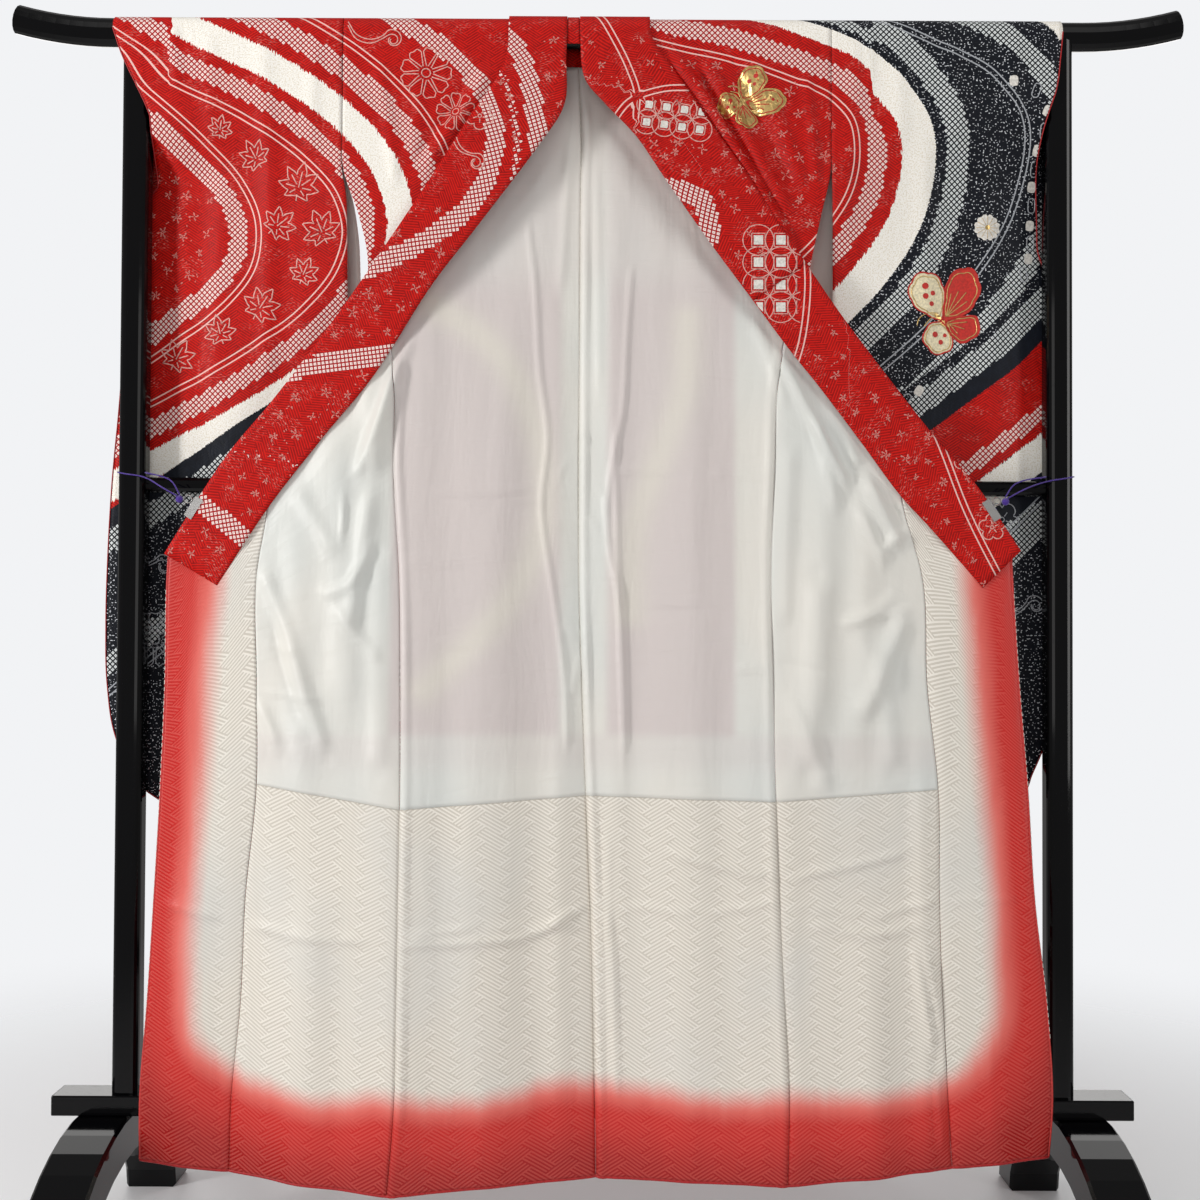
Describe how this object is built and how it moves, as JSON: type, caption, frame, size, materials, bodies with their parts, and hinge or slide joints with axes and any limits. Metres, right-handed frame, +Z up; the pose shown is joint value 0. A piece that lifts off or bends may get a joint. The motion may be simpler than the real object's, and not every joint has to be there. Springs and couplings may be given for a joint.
{
  "type": "furisode kimono on kimono stand",
  "caption": "Long-sleeved furisode kimono hung over a black lacquer kimono stand, both fronts tied back to the posts so that the white lining and the dyed skirt lining show.",
  "frame": {"origin": "on the floor under the middle of the stand, midway between the feet and midway between their front and back ends", "axes": "+Z up; +X to the right of someone who faces the opened fronts; -Y towards that viewer"},
  "size_m": [1.691, 0.566, 1.7758],
  "materials": {
    "red_silk": "dyed figured silk crepe, soft sheen",
    "white_lining": "smooth white lining silk",
    "skirt_lining": "cream damask silk shaded to red at its border",
    "black_lacquer": "high gloss black lacquer",
    "clip_steel": "polished steel",
    "purple_cord": "twisted silk cord"
  },
  "bodies": {
    "root": {"body_back_left": "red_silk", "body_back_right": "red_silk", "body_front_left": "red_silk", "body_front_right": "red_silk", "clip_left": "clip_steel", "clip_right": "clip_steel", "clip_ring_left": "clip_steel", "clip_ring_right": "clip_steel", "collar_left": "red_silk", "collar_nape": "red_silk", "collar_right": "red_silk", "cord_knot_left": "purple_cord", "cord_knot_right": "purple_cord", "cord_left": "purple_cord", "cord_right": "purple_cord", "foot_left": "black_lacquer", "foot_right": "black_lacquer", "hakkake_back_left": "skirt_lining", "hakkake_back_right": "skirt_lining", "hakkake_front_left": "skirt_lining", "hakkake_front_right": "skirt_lining", "hakkake_okumi_left": "skirt_lining", "hakkake_okumi_right": "skirt_lining", "lining_back_left": "white_lining", "lining_back_right": "white_lining", "lining_front_left": "white_lining", "lining_front_right": "white_lining", "lower_bar": "black_lacquer", "mid_rail": "black_lacquer", "okumi_left": "red_silk", "okumi_right": "red_silk", "over_collar_left": "red_silk", "over_collar_right": "red_silk", "post_left": "black_lacquer", "post_right": "black_lacquer", "shoulder_front_left": "red_silk", "shoulder_front_right": "red_silk", "sleeve_back_left": "red_silk", "sleeve_back_right": "red_silk", "sleeve_front_left": "red_silk", "sleeve_front_right": "red_silk", "sleeve_lining_left": "white_lining", "sleeve_lining_right": "white_lining", "top_rail": "black_lacquer"}
  },
  "joints": []
}
